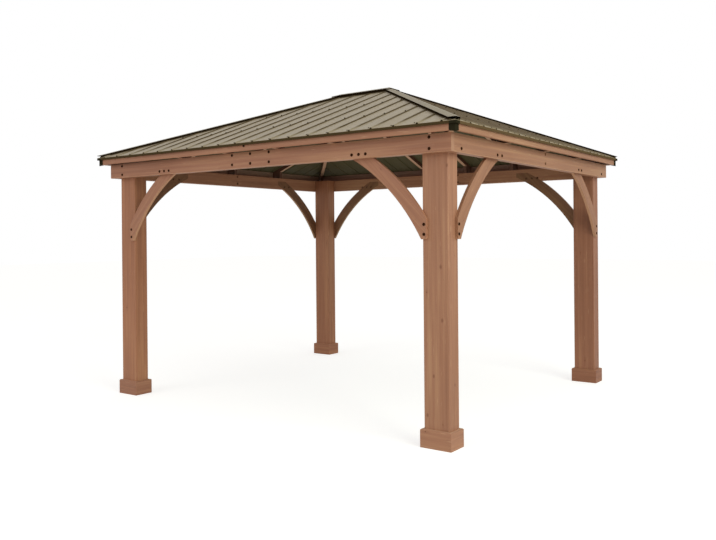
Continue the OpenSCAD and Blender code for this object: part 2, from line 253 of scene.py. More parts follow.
# %% Board coordinates
def board_place(tree, along, across, folded, mitred):
    """The point and its normal, and how far the point lies across, through and along its board."""
    point = add(tree, "TexCoord", out="Object")
    normal = add(tree, "TexCoord", out="Normal")
    if folded:
        point = add(tree, "VectorMath", {"operation": "ABSOLUTE"}, {0: point})
        normal = add(tree, "VectorMath", {"operation": "ABSOLUTE"}, {0: normal})
    axes = (across, along.cross(across), along)
    if mitred:
        face = add(tree, "VectorMath", {"operation": "ABSOLUTE"}, {0: normal})
        face_x = add(tree, "SeparateXYZ", inputs={0: face}, out=0)
        face_y = add(tree, "SeparateXYZ", inputs={0: face}, out=1)
        axes = (across, face, add(tree, "CombineXYZ", inputs={0: face_y, 1: face_x}))
    u, v, w = [add(tree, "VectorMath", {"operation": "DOT_PRODUCT"}, {0: point, 1: axis}, "Value")
               for axis in axes]
    return point, normal, u, v, w


# %% [markdown]
# ## Knots
# A knot is where a branch grew: a dark round core, with darker grain that parts round it. A Voronoi texture
# splits a face into uneven cells with one point in each, and that point becomes a knot of its own size, or
# a mere speck in most cells. That saves placing each knot by hand. Only those that can be made out on the
# nearest post in the photograph are marked one by one.

# %% Knots
KNOT_CELL = 300 * MM
KNOT_SMALL, KNOT_LARGE = 1 * MM, 12 * MM
SPECKS = 0.6
HALO_STRETCH = 0.22
PARTING = 0.6
print("knots up to", round(KNOT_LARGE / MM), "mm in radius, about", round(KNOT_CELL / MM), "mm apart")


def knots(tree, u, v, w):
    """The cores of the knots, the halos round them, and u bent where the grain parts round a knot."""
    flat = add(tree, "CombineXYZ", inputs={0: add(tree, "Math", {"operation": "ADD"}, {0: u, 1: v}), 1: w})
    cell = add(tree, "VectorMath", {"operation": "MULTIPLY"}, {0: flat, 1: (1 / KNOT_CELL,) * 3})
    pattern = {"Vector": cell, "Scale": 1.0, "Randomness": 1.0}
    place = add(tree, "TexVoronoi", {"voronoi_dimensions": "2D"}, pattern, "Position")
    chance = add(tree, "TexVoronoi", {"voronoi_dimensions": "2D"}, pattern, "Color")
    radius = add(tree, "MapRange", inputs={0: chance, 1: SPECKS, 2: 1.0, 3: KNOT_SMALL, 4: KNOT_LARGE})
    apart = add(tree, "VectorMath", {"operation": "SUBTRACT"}, {0: cell, 1: place})
    masks = []
    for stretch, full, none in ((1.0, 0.55, 1.15), (HALO_STRETCH, 0.3, 2.6)):
        gap = add(tree, "VectorMath", {"operation": "MULTIPLY"},
                  {0: apart, 1: (KNOT_CELL, KNOT_CELL * stretch, 0)})
        gap = add(tree, "VectorMath", {"operation": "LENGTH"}, {0: gap}, "Value")
        gap = add(tree, "Math", {"operation": "DIVIDE"}, {0: gap, 1: radius})
        masks.append(add(tree, "MapRange", {"interpolation_type": "SMOOTHSTEP"},
                         {0: gap, 1: full, 2: none, 3: 1.0, 4: 0.0}))
    core, halo = masks
    away = add(tree, "Math", {"operation": "MULTIPLY"},
               {0: add(tree, "SeparateXYZ", inputs={0: apart}), 1: -PARTING * KNOT_CELL})
    return core, halo, add(tree, "Math", {"operation": "MULTIPLY_ADD"}, {0: away, 1: halo, 2: u})


# %% Marked knots
def marked_knots(tree, core, point, along, marked):
    """Adds fainter knots at marked places: a point and a radius for each, drawn out along the grain."""
    for x, y, z, radius in marked:
        gap = add(tree, "VectorMath", {"operation": "SUBTRACT"}, {0: point, 1: (x, y, z)})
        gap = add(tree, "VectorMath", {"operation": "MULTIPLY"},
                  {0: gap, 1: Vector((1, 1, 1)) - 0.35 * along})
        gap = add(tree, "VectorMath", {"operation": "LENGTH"}, {0: gap}, "Value")
        spot = add(tree, "MapRange", {"interpolation_type": "SMOOTHSTEP"},
                   {0: gap, 1: 0.2 * radius, 2: radius, 3: 0.7, 4: 0.0})
        core = add(tree, "Math", {"operation": "MAXIMUM"}, {0: core, 1: spot})
    return core


# %% [markdown]
# ## Grain
# Planing leaves long soft streaks along the board, fine grain, pale flecks, and a tone that changes from
# board to board. Each is noise that is stretched along the grain. Growth rings are circles round the tree's
# heart, which lies outside the board, so a sine of the distance to it draws them. They are wider than real
# ones, so that they still show at this distance. A photographed texture could give all this, but it would
# repeat.

# %% Grain
TONE = 240 * MM, 1800 * MM, 1.0
STREAK = 26 * MM, 950 * MM, 3.0
FINE = 5 * MM, 160 * MM, 2.0
FLECK = 9 * MM, 130 * MM, 1.0
RING = 13 * MM
HEART = 90 * MM
WANDER = 120 * MM
print("streaks", round(STREAK[0] / MM), "mm wide, rings", round(RING / MM), "mm apart")


def drawn_out(tree, board, width, length, detail):
    """Noise in patches of a given width and length along the grain, in metres."""
    scaled = add(tree, "VectorMath", {"operation": "MULTIPLY"},
                 {0: board, 1: (1 / width, 1 / width, 1 / length)})
    return add(tree, "TexNoise", inputs={"Vector": scaled, "Scale": 1.0, "Detail": detail, "Roughness": 0.55})


def grain(tree, u, v, w):
    """One value from dark late wood to pale early wood, and the fine grain and the flecks on their own."""
    board = add(tree, "CombineXYZ", inputs={0: u, 1: v, 2: w})
    tone, streak, fine, fleck = [drawn_out(tree, board, *patch) for patch in (TONE, STREAK, FINE, FLECK)]
    side = add(tree, "Math", {"operation": "MULTIPLY_ADD"}, {0: tone, 1: WANDER, 2: u})
    heart = add(tree, "CombineXYZ",
                inputs={0: side, 1: add(tree, "Math", {"operation": "ADD"}, {0: v, 1: HEART})})
    ring = add(tree, "VectorMath", {"operation": "LENGTH"}, {0: heart}, "Value")
    ring = add(tree, "Math", {"operation": "MULTIPLY"}, {0: ring, 1: 2 * math.pi / RING})
    ring = add(tree, "Math", {"operation": "MULTIPLY_ADD"}, {0: streak, 1: 7.0, 2: ring})
    ring = add(tree, "Math", {"operation": "SINE"}, {0: ring})
    value = streak
    for part, share in ((ring, 0.012), (fine, 0.24), (tone, 0.70)):
        value = add(tree, "Math", {"operation": "MULTIPLY_ADD"}, {0: part, 1: share, 2: value})
    return value, fine, fleck


# %% [markdown]
# ## Colours of the cedar
# The grain's value picks a colour between dark late wood and pale early wood, and flecks and knots go on top.
# Some faces differ, and a face is told by its normal. The eased lower edges of beams and braces are painted
# paler, a painted highlight of the light from below. Faces that look indoors are tinted: greyer and bluer on
# the beams and fascia, and darker and yellower on the braces of the back and left, which is painted shade.
# The rafters' sides are painted dark, as painted shade, over a paler underside that is painted light. Sawn
# ends show the open pores of the wood. Each could be a material of its own on its own faces, but the CAD
# meshes stay as they are, so one material holds them all.

# %% Wood colour
def wood_colour(tree, value, fleck, halo, core):
    """Late and early wood, pale flecks, and knots with their halos."""
    layers = [(add(tree, "MapRange", inputs={0: value, 1: 0.60, 2: 0.97}), "#a06f57"),
              (add(tree, "MapRange", inputs={0: value, 1: 0.97, 2: 1.32}), "#b38568"),
              (add(tree, "MapRange", inputs={0: fleck, 1: 0.68, 2: 0.80, 3: 0.0, 4: 0.5}), "#d2ab8c"),
              (add(tree, "Math", {"operation": "MULTIPLY"}, {0: halo, 1: 0.35}), "#7c4a34"),
              (add(tree, "Math", {"operation": "MULTIPLY"}, {0: core, 1: 0.80}), "#653521")]
    colour = linear("#8b5d47")
    for share, shade in layers:
        colour = add(tree, "Mix", BLEND, {0: share, 6: colour, 7: linear(shade)}, 2)
    return colour


# %% Faces that differ
def faces_in_painted_light(tree, colour, inner_face, shaded_sides_lit_underside):
    """A painted highlight on eased lower edges, tinted faces that look indoors, and painted shade on the
    rafters' sides over a paler underside, painted light.
    """
    outward = add(tree, "TexCoord", out="Normal")
    height = add(tree, "SeparateXYZ", inputs={0: outward}, out=2)
    # Painted highlight: faces that slope down, the eased lower edges, are painted paler as if lit from below.
    lit_bevel = add(tree, "Math", {"operation": "MULTIPLY"}, {
        0: add(tree, "MapRange", inputs={0: height, 1: -0.25, 2: -0.55}),
        1: add(tree, "MapRange", inputs={0: height, 1: -0.97, 2: -0.85, 3: 0.0, 4: 0.6})})
    colour = add(tree, "Mix", BLEND, {0: lit_bevel, 6: colour, 7: linear("#cfa284")}, 2)
    # Faces that look indoors take a tint; on the back and left braces it is painted shade.
    if inner_face:
        inward = add(tree, "VectorMath", {"operation": "MULTIPLY"},
                     {0: add(tree, "TexCoord", out="Object"), 1: (-1, -1, 0)})
        inward = add(tree, "VectorMath", {"operation": "DOT_PRODUCT"}, {0: outward, 1: inward}, "Value")
        inward = add(tree, "MapRange", inputs={0: inward, 1: 0.2, 2: 0.8})
        colour = add(tree, "Mix", TINT, {0: inward, 6: colour, 7: (*inner_face, 1)}, 2)
    # Painted shade on the rafters' sides, tinted darker, and painted light on their underside, blended paler.
    if shaded_sides_lit_underside:
        under = add(tree, "MapRange", inputs={0: height, 1: -0.3, 2: -0.8})
        side = add(tree, "Mix", TINT, {0: 1.0, 6: colour, 7: linear("#8c7f78")}, 2)
        planed = add(tree, "Mix", BLEND, {0: 0.5, 6: colour, 7: linear("#d3b49c")}, 2)
        colour = add(tree, "Mix", BLEND, {0: under, 6: side, 7: planed}, 2)
    return colour


def sawn_ends(tree, colour, normal, along, shade):
    """The ends of a board, where the saw cut across the grain."""
    end = add(tree, "VectorMath", {"operation": "DOT_PRODUCT"}, {0: normal, 1: along}, "Value")
    end = add(tree, "Math", {"operation": "ABSOLUTE"}, {0: end})
    end = add(tree, "MapRange", inputs={0: end, 1: 0.8, 2: 0.95, 3: 0.0, 4: 0.55})
    return add(tree, "Mix", BLEND, {0: end, 6: colour, 7: linear(shade)}, 2)


# %% [markdown]
# ## The whole cedar
# The pieces above make one material for each kind of board. A tint goes over all of it: the stain, as each
# board took it up in its own way, and also painted shade on the back posts and painted light on the inner
# beams. The satin sheen is a middling roughness that follows the fine grain, and the same grain lifts the
# surface a little through a Bump node, with the knots standing lower.

# %% Cedar material
WOOD_IOR = 1.48
GRAIN_DEPTH = 0.8 * MM
PLANED_END, ROUGH_END = "#a8826a", "#5d4032"


def cedar(name, along, across, folded=False, marked=(), shaded_sides_lit_underside=False, mitred=False,
          inner_face=None, stain_and_painted_light=(1, 1, 1)):
    """Stained cedar whose grain runs in one direction, with more knots at the marked places. The tint is how
    much red, green and blue light the board throws back, against the others: its stain, and on the back posts
    also painted shade and on the inner beams painted light. Inner_face is the same for its faces that look
    indoors. The rafters' flag paints shade on their sides and light on their underside. No end grain shows on
    mitred boards."""
    material, tree = new_material(name)
    along, across = Vector(along).normalized(), Vector(across).normalized()
    point, normal, u, v, w = board_place(tree, along, across, folded, mitred)
    core, halo, u_bent = knots(tree, u, v, w)
    core = marked_knots(tree, core, point, along, marked)
    value, fine, fleck = grain(tree, u_bent, v, w)
    colour = wood_colour(tree, value, fleck, halo, core)
    # A tint over the wood: the stain, with painted shade on the back posts and painted light on the inner
    # beams.
    colour = add(tree, "Mix", TINT, {0: 1.0, 6: colour, 7: (*stain_and_painted_light, 1)}, 2)
    colour = faces_in_painted_light(tree, colour, inner_face, shaded_sides_lit_underside)
    if not mitred:
        colour = sawn_ends(tree, colour, normal, along, ROUGH_END if shaded_sides_lit_underside else PLANED_END)
    rough = add(tree, "MapRange", inputs={0: fine, 1: 0.3, 2: 0.7, 3: 0.52, 4: 0.7})
    height = add(tree, "Math", {"operation": "MULTIPLY_ADD"}, {0: core, 1: -0.4, 2: fine})
    bump = add(tree, "Bump", inputs={"Height": height, "Strength": 0.35, "Distance": GRAIN_DEPTH})
    surface = add(tree, "BsdfPrincipled",
                  inputs={"Base Color": colour, "Roughness": rough, "IOR": WOOD_IOR, "Normal": bump})
    add(tree, "OutputMaterial", inputs={"Surface": surface})
    return material


# %% [markdown]
# ## Which board gets which grain
# A post's grain stands upright, a beam's runs along the beam, and a brace is cut on the slant from a wide
# plank, so its grain follows the straight line from its foot to its head. Rafters follow their slope. Each
# post has a tint of its own, read from the photograph, as have the collars and the sides' braces. Much of it
# is the stain, which no two boards took alike, but the darker tints of the two back posts also paint the
# shade under the roof, and the inner beams are painted lighter, which is painted light. One tint for all
# would look too even.

# %% Stains, and the knots of the nearest post
POST_FRONT, POST_SIDE = post_low.y, post_high.x
POST_KNOTS = [(1.861, POST_FRONT, 1.354, 16 * MM), (1.871, POST_FRONT, 0.958, 16 * MM),
              (1.794, POST_FRONT, 0.539, 14 * MM), (1.737, POST_FRONT, 0.243, 15 * MM),
              (1.921, POST_FRONT, 2.101, 14 * MM), (POST_SIDE, -1.530, 0.475, 13 * MM)]
# Tints against the plain stain. The darker ones of the two back posts also paint the shade under the roof;
# the lighter one of the inner beams is painted light.
PLAIN, PALE, LIGHT = (1, 1, 1), (1.10, 1.16, 1.17), (1.03, 1.07, 1.06)
ORANGE, DARK, SHADED = (1.08, 1.02, 0.90), (0.86, 0.80, 0.75), (1.0, 0.93, 0.82)
INNER_PAINTED_LIGHT, MELLOW = (1.12, 1.18, 1.18), (0.95, 1.0, 0.95)
# Indoor tints: greyer and bluer on the beams and fascia, and darker and yellower on the braces, as painted
# shade.
GREYED, INDOOR_SHADE = (0.85, 1.10, 1.55), (0.64, 0.68, 0.56)
CORNERS = {"front_left": ("orange", ORANGE, PLAIN), "front_right": ("near", LIGHT, PALE),
           "back_right": ("dark", DARK, DARK), "back_left": ("shaded", SHADED, SHADED)}
print(len(POST_KNOTS), "marked knots,", len(CORNERS), "stained corners")

# %% Give the boards their wood
UP, ALONG_X, ALONG_Y = (0, 0, 1), (1, 0, 0), (0, 1, 0)
rise, run = math.sin(PITCH), math.cos(PITCH)

woods = {
    # The inner beams are painted lighter: painted light under the roof.
    "inner_x": cedar("cedar_painted_lighter_along_x", ALONG_X, UP, stain_and_painted_light=INNER_PAINTED_LIGHT),
    "inner_y": cedar("cedar_painted_lighter_along_y", ALONG_Y, UP, stain_and_painted_light=INNER_PAINTED_LIGHT),
    "cedar_x": cedar("stained_cedar_along_x", ALONG_X, UP, inner_face=GREYED),
    "cedar_y": cedar("stained_cedar_along_y", ALONG_Y, UP, inner_face=GREYED, stain_and_painted_light=MELLOW),
    "front_braces": cedar("stained_cedar_front_brace", (-1, 0, 1), (1, 0, 1), folded=True),
    "back_braces": cedar("stained_cedar_back_brace", (-1, 0, 1), (1, 0, 1), folded=True, inner_face=INDOOR_SHADE),
    "right_braces": cedar("stained_cedar_right_brace", (0, -1, 1), (0, 1, 1), folded=True, stain_and_painted_light=MELLOW),
    "left_braces": cedar("stained_cedar_left_brace", (0, -1, 1), (0, 1, 1), folded=True, inner_face=INDOOR_SHADE),
    "slope_y": cedar("stained_cedar_rafter_y", (0, -run, rise), (0, rise, run), folded=True, shaded_sides_lit_underside=True),
    "slope_x": cedar("stained_cedar_rafter_x", (-run, 0, rise), (rise, 0, run), folded=True, shaded_sides_lit_underside=True),
    "hip": cedar("stained_cedar_hip", (-1, -1, math.tan(PITCH)), (1, -1, 0), folded=True, shaded_sides_lit_underside=True),
}
for corner, (word, post_stain_and_shade, plinth_stain_and_shade) in CORNERS.items():
    marked = POST_KNOTS if corner == "front_right" else ()
    woods[f"{corner}_post"] = cedar(f"stained_cedar_{word}_post", UP, ALONG_X, marked=marked,
                                    stain_and_painted_light=post_stain_and_shade)
    woods[f"{corner}_plinth"] = cedar(f"stained_cedar_{word}_plinth", ALONG_X, UP, mitred=True,
                                      stain_and_painted_light=plinth_stain_and_shade)
print(len(woods), "kinds of board")


# %% Pick the wood for a node
def wood_for(node):
    """The wood whose grain runs along a node's boards."""
    long_side = node.startswith(("front", "back"))
    if "post" in node:
        return woods[node[:node.index("post") + len("post")]]
    if "plinth" in node or "braces" in node:
        return woods[node]
    if "inner" in node:
        return woods["inner_x" if long_side else "inner_y"]
    if "hip_rafters" in node:
        return woods["hip"]
    if "rafters" in node:
        return woods["slope_y" if long_side else "slope_x"]
    return woods["cedar_x" if long_side or "ridge" in node else "cedar_y"]


# %% [markdown]
# ## Coated roof steel
# The roof is thin steel folded into ribs and coated in a satin taupe paint. Rain leaves faint streaks down
# the slope. The ribs are painted a darker brown, partly painted shade on their flanks and partly the coat's
# own darker colour, and the pans a lighter taupe, which partly stands in for the sky's reflection at a
# grazing angle. The underside has an olive-brown primer, painted dark enough to also stand for the shade
# under the roof, and a face there is told by its normal. The ribs stand at an even pitch, so the Ping-Pong
# operation, which folds a length back and forth, gives the distance to the nearest one. A second material on
# the ribs' own faces would need the CAD mesh to be changed.

# %% Roof colour
def roof_colour(tree, cloud, streaks, rib, on_rib):
    """Taupe pans with rain streaks, partly painted reflection, brown ribs, partly painted shade, the primer
    underneath, darkened as painted shade, and how far a face looks down.
    """
    value = add(tree, "Math", {"operation": "MULTIPLY_ADD"}, {0: cloud, 1: 0.6, 2: streaks})
    fade = add(tree, "MapRange", inputs={0: value, 1: 0.55, 2: 1.05})
    # The pans' light taupe partly stands in for the sky's reflection at a grazing angle.
    colour = add(tree, "Mix", BLEND, {0: fade, 6: linear("#93856d"), 7: linear("#9f9077")}, 2)
    # Painted shade: the ribs' brown stands partly for the shade on their flanks and partly for the coat's own
    # darker colour.
    colour = add(tree, "Mix", BLEND, {0: on_rib, 6: colour, 7: linear(rib)}, 2)
    # The underside's olive-brown primer is dark enough to also paint the shade under the roof.
    height = add(tree, "SeparateXYZ", inputs={0: add(tree, "TexCoord", out="Normal")}, out=2)
    below = add(tree, "MapRange", inputs={0: height, 1: 0.0, 2: -0.3})
    return add(tree, "Mix", BLEND, {0: below, 6: colour, 7: linear("#54503b")}, 2), below


# %% Ribs
RIB_PITCH, RIB_FOOT = 208 * MM, 28 * MM
RIB_SIDE = 2 * MM
RIB_FADE_FROM, RIB_FADE_TO = 160 * MM, 30 * MM
print("ribs every", round(RIB_PITCH / MM), "mm")


def rib_mask(tree, point, cloud, fall, across, eave, rib_left_at_eave):
    """1 on a rib and 0 on the pans, a little uneven, and fading out towards the eave: where the ribs' painted
    shade goes.
    """
    out = add(tree, "VectorMath", {"operation": "DOT_PRODUCT"}, {0: point, 1: fall}, "Value")
    out = add(tree, "Math", {"operation": "ABSOLUTE"}, {0: out})
    side = add(tree, "VectorMath", {"operation": "DOT_PRODUCT"}, {0: point, 1: across}, "Value")
    side = add(tree, "Math", {"operation": "ADD"}, {0: side, 1: RIB_PITCH / 2})
    side = add(tree, "Math", {"operation": "PINGPONG"}, {0: side, 1: RIB_PITCH / 2})
    on_rib = add(tree, "MapRange", inputs={0: side, 1: RIB_FOOT / 2, 2: RIB_FOOT / 2 - RIB_SIDE})
    eave_fade = add(tree, "MapRange", inputs={0: out, 1: eave - RIB_FADE_FROM, 2: eave - RIB_FADE_TO, 3: 1.0, 4: rib_left_at_eave})
    uneven = add(tree, "MapRange", inputs={0: cloud, 1: 0.35, 2: 0.65, 3: 0.85, 4: 1.0})
    on_rib = add(tree, "Math", {"operation": "MULTIPLY"}, {0: on_rib, 1: eave_fade})
    return add(tree, "Math", {"operation": "MULTIPLY"}, {0: on_rib, 1: uneven})


# %% Roof sheet
RAIN_W, RAIN_L = 30 * MM, 700 * MM
ROOF_CLOUD, ROOF_GRIT = 350 * MM, 4 * MM
COAT_IOR, COAT_GRAIN = 1.5, 0.3 * MM


def roof_steel(name, fall, across, eave, rib, rib_left_at_eave, gloss):
    """Coated steel sheet: fall is the axis that it slopes along to the eave. Rib is the colour of the ribs,
    partly painted shade; after it comes how much of that colour is left at the eave, and gloss is how
    strongly the pans shine."""
    material, tree = new_material(name)
    point = add(tree, "TexCoord", out="Object")
    rain = add(tree, "VectorMath", {"operation": "MULTIPLY"},
               {0: point, 1: Vector(across) / RAIN_W + Vector(fall) / RAIN_L})
    streaks = add(tree, "TexNoise", inputs={"Vector": rain, "Scale": 1.0, "Detail": 3.0})
    cloud = add(tree, "TexNoise", inputs={"Vector": point, "Scale": 1 / ROOF_CLOUD, "Detail": 2.0})
    grit = add(tree, "TexNoise", inputs={"Vector": point, "Scale": 1 / ROOF_GRIT, "Detail": 1.0})
    on_rib = rib_mask(tree, point, cloud, fall, across, eave, rib_left_at_eave)
    colour, below = roof_colour(tree, cloud, streaks, rib, on_rib)
    rough = add(tree, "MapRange", inputs={0: streaks, 1: 0.3, 2: 0.7, 3: 0.42, 4: 0.58})
    dull = add(tree, "Math", {"operation": "MAXIMUM"}, {0: on_rib, 1: below})
    sheen = add(tree, "MapRange", inputs={0: dull, 3: gloss, 4: 0.05})
    bump = add(tree, "Bump", inputs={"Height": grit, "Strength": 0.12, "Distance": COAT_GRAIN})
    surface = add(tree, "BsdfPrincipled",
                  inputs={"Base Color": colour, "Roughness": rough, "IOR": COAT_IOR,
                          "Specular IOR Level": sheen, "Normal": bump})
    add(tree, "OutputMaterial", inputs={"Surface": surface})
    return material


# The ribs' brown is partly painted shade; on the short slopes it is less dark.
roof_long = roof_steel("coated_roof_steel_long_slopes", ALONG_Y, ALONG_X, EAVE_Y, "#4a3b21", 0.2, 0.4)
roof_short = roof_steel("coated_roof_steel_short_slopes", ALONG_X, ALONG_Y, EAVE_X, "#6a5c4b", 0.6, 0.1)
print("made", roof_long.name, "and", roof_short.name)

# %% [markdown]
# ## Caps, trim and fixings
# The caps, the eave trim, the corner covers and the fixings are steel with the same kind of satin coat in
# other colours, a little cloudy from dust. Steep faces and undersides take a colour of their own, which
# paints their shade; on the caps it is near black, the painted shade under their lips. The trim is painted
# darker on the long sides, as painted shade, and lighter on the short sides, as painted light. The trim is as
# dark as the covers for the last bit round each corner of the roof. The closure foam is dull, but the same
# clouds suit it, so one function makes them all.

# %% Coated steel
COAT_CLOUD, COAT_GRIT = 120 * MM, 5 * MM
CORNER_LEG = 60 * MM


def coated_steel(name, light, dark, edge, roughness, sheen, corner=None):
    """A satin coat between a light and a dark colour, with a colour for edges, steep faces and undersides,
    which paints their shade, and one for the corners of the roof if there is one."""
    material, tree = new_material(name)
    point = add(tree, "TexCoord", out="Object")
    cloud = add(tree, "TexNoise", inputs={"Vector": point, "Scale": 1 / COAT_CLOUD, "Detail": 4.0})
    grit = add(tree, "TexNoise", inputs={"Vector": point, "Scale": 1 / COAT_GRIT, "Detail": 1.0})
    fade = add(tree, "MapRange", inputs={0: cloud, 1: 0.35, 2: 0.65})
    colour = add(tree, "Mix", BLEND, {0: fade, 6: linear(dark), 7: linear(light)}, 2)
    height = add(tree, "SeparateXYZ", inputs={0: add(tree, "TexCoord", out="Normal")}, out=2)
    # Painted shade: faces that are steep or look down take the edge colour, near black on the caps' lips.
    folded = add(tree, "MapRange", inputs={0: height, 1: 0.6, 2: 0.3})
    colour = add(tree, "Mix", BLEND, {0: folded, 6: colour, 7: linear(edge)}, 2)
    if corner:
        past = add(tree, "VectorMath", {"operation": "ABSOLUTE"}, {0: point})
        past = add(tree, "VectorMath", {"operation": "SUBTRACT"},
                   {0: past, 1: (EAVE_X - CORNER_LEG, EAVE_Y - CORNER_LEG, 0)})
        past_x = add(tree, "SeparateXYZ", inputs={0: past}, out=0)
        past_y = add(tree, "SeparateXYZ", inputs={0: past}, out=1)
        past = add(tree, "Math", {"operation": "MINIMUM"}, {0: past_x, 1: past_y})
        past = add(tree, "MapRange", inputs={0: past, 1: 0.0, 2: 3 * MM})
        colour = add(tree, "Mix", BLEND, {0: past, 6: colour, 7: linear(corner)}, 2)
    rough = add(tree, "MapRange", inputs={0: cloud, 1: 0.3, 2: 0.7, 3: roughness, 4: roughness + 0.12})
    bump = add(tree, "Bump", inputs={"Height": grit, "Strength": 0.12, "Distance": COAT_GRAIN})
    gloss = add(tree, "MapRange", inputs={0: folded, 3: sheen, 4: 0.0})
    surface = add(tree, "BsdfPrincipled",
                  inputs={"Base Color": colour, "Roughness": rough, "IOR": COAT_IOR,
                          "Specular IOR Level": gloss, "Normal": bump})
    add(tree, "OutputMaterial", inputs={"Surface": surface})
    return material


# %% Coats for caps, trim, fixings and foam
OLIVE = "#2b281d"
# The caps' near-black edge colour is painted shade under their lips.
cap_steel = coated_steel("coated_cap_steel", "#988d79", "#8d826f", "#1c1207", 0.50, 0.2)
# The trim's two coats are lit and shaded copies: darker on the long sides as painted shade, lighter on the
# short sides as painted light.
trim_long = coated_steel("trim_steel_painted_shade", "#544632", "#493c2a", "#4a3d2a", 0.60, 0.05, OLIVE)
trim_short = coated_steel("trim_steel_painted_light", "#685642", "#5c4b39", "#604f39", 0.60, 0.05, OLIVE)
cover_steel = coated_steel("olive_coated_cover_steel", "#2f2c20", "#28251b", OLIVE, 0.60, 0.05)
bolt_steel = coated_steel("brown_coated_bolt_steel", "#4e3122", "#402819", "#352014", 0.60, 0.03)
# The nuts' light wood-brown is painted light on the shaded inner faces; the paler middle bolts share it.
nut_steel = coated_steel("wood_brown_nut_steel_painted_lighter", "#8a6a54", "#7c5d48", "#6e523f", 0.60, 0.05)
screw_steel = coated_steel("brown_coated_screw_steel", "#4a3f2e", "#3c3325", "#352c20", 0.55, 0.05)
# The foam's dark taupe is painted shade: the pan's colour in the shade under the caps.
closure_foam = coated_steel("closure_foam_painted_shade", "#564c3a", "#4a4132", "#443b2c", 0.80, 0.0)
print(len(bpy.data.materials), "materials so far")

# %% [markdown]
# ## Dress the frame
# Every node of the CAD model is one kind of piece, and its name says which. Its mesh stays as it is and
# only takes a material. Picking by name keeps the list short, and a new rafter would be dressed without a
# new line.

# %% Dress the CAD nodes
for name, obj in nodes.items():
    on_long_side = name.startswith(("front", "back"))
    if "roof_sheet" in name:
        material = roof_long if on_long_side else roof_short
    elif "cap" in name:
        material = cap_steel
    elif "cover" in name:
        material = cover_steel
    elif "trim" in name:
        material = trim_long if on_long_side else trim_short
    else:
        material = wood_for(name)
    obj.data.materials.clear()
    obj.data.materials.append(material)
print("dressed", len(nodes), "nodes in", len(bpy.data.materials), "materials")

# %% [markdown]
# ## Heads of bolts and screws
# Brown coated timber bolts hold the boards together. Each has a low domed head with a round socket. A
# turned shape like that is a short profile spun once round its axis. Nuts and roof screws are hexagons on a
# round washer: two discs, each raised into a block, with the top rim of the hexagon bevelled as on a real
# nut. A scaled cylinder would do for a dot this small, but not for a closer look.

# %% A turned head
BOLT_R, BOLT_H = 12.5 * MM, 5 * MM
SOCKET_R, SOCKET_FLOOR = 4 * MM, BOLT_H - 3 * MM
SUNK = -0.5 * MM
BOLT_STEPS = 20


def turned(name, profile, steps):
    """A profile of (radius, height) points, spun round the Z axis."""
    bm = bmesh.new()
    points = [bm.verts.new((r, 0, z)) for r, z in profile]
    edges = [bm.edges.new(pair) for pair in zip(points, points[1:])]
    bmesh.ops.spin(bm, geom=points + edges, cent=(0, 0, 0), axis=(0, 0, 1), angle=2 * math.pi, steps=steps,
                   use_merge=True)
    bmesh.ops.remove_doubles(bm, verts=bm.verts, dist=1e-6)
    bmesh.ops.recalc_face_normals(bm, faces=bm.faces)
    return store(bm, name)


bolt_head = turned("bolt_head", [
    (0, SOCKET_FLOOR), (SOCKET_R, SOCKET_FLOOR), (SOCKET_R, BOLT_H), (0.62 * BOLT_R, 0.96 * BOLT_H),
    (0.86 * BOLT_R, 0.72 * BOLT_H), (BOLT_R, 0.3 * BOLT_H), (BOLT_R, SUNK), (0, SUNK)], BOLT_STEPS)
print("bolt head", len(bolt_head.polygons), "faces")

# %% A hexagon head
NUT_CHAMFER = 0.12
WASHER_STEPS = 18


def raise_face(bm, face, height):
    """Extrudes a face straight up into a block, and hands back the corners of its top."""
    raised = bmesh.ops.extrude_face_region(bm, geom=[face])
    lifted = [g for g in raised["geom"] if isinstance(g, bmesh.types.BMVert)]
    bmesh.ops.translate(bm, verts=lifted, vec=(0, 0, height))
    return lifted


def hexagon(name, across_flats, height, washer_r, washer_h):
    """A hexagon nut or screw head on its round washer."""
    bm = bmesh.new()
    washer = bmesh.ops.create_circle(bm, cap_ends=True, radius=washer_r, segments=WASHER_STEPS)["verts"]
    raise_face(bm, washer[0].link_faces[0], washer_h)
    nut = bmesh.ops.create_circle(bm, cap_ends=True, radius=across_flats / math.sqrt(3), segments=6)["verts"]
    bmesh.ops.translate(bm, verts=nut, vec=(0, 0, washer_h))
    top = raise_face(bm, nut[0].link_faces[0], height)
    rim = [e for e in bm.edges if all(v in top for v in e.verts)]
    bmesh.ops.bevel(bm, geom=rim, offset=NUT_CHAMFER * across_flats, segments=2, profile=0.5, affect="EDGES",
                    material=-1)
    bmesh.ops.recalc_face_normals(bm, faces=bm.faces)
    return store(bm, name)


nut_shape = hexagon("nut", 15 * MM, 7 * MM, 12 * MM, 2 * MM)
screw_shape = hexagon("roof_screw", 9 * MM, 5 * MM, 8 * MM, 2 * MM)
eave_screw_shape = hexagon("eave_screw", 7 * MM, 4 * MM, 6 * MM, 1.5 * MM)
print("nut", len(nut_shape.polygons), "faces")

# %% [markdown]
# ## Setting pieces down
# A head is made once, and a copy of it is set down at each place, turned so that it stands out of its
# board. All copies on one side become one piece, which rides on the frame. Linked objects would share one
# mesh, but there would be hundreds of them to name and hand over.

# %% Hand pieces to the frame
def facing(place, out):
    """The matrix that sets a shape down at a place, with its +Z pointing out."""
    return Matrix.Translation(place) @ Vector(out).to_track_quat("Z", "Y").to_matrix().to_4x4()


def hand_over(bm, name, material):
    """Makes a finished shape into a piece that rides on the frame."""
    mesh = store(bm, name)
    mesh.materials.append(material)
    obj = bpy.data.objects.new(name, mesh)
    bpy.context.scene.collection.objects.link(obj)
    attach(obj, "root")
    print(name, len(mesh.polygons), "faces")


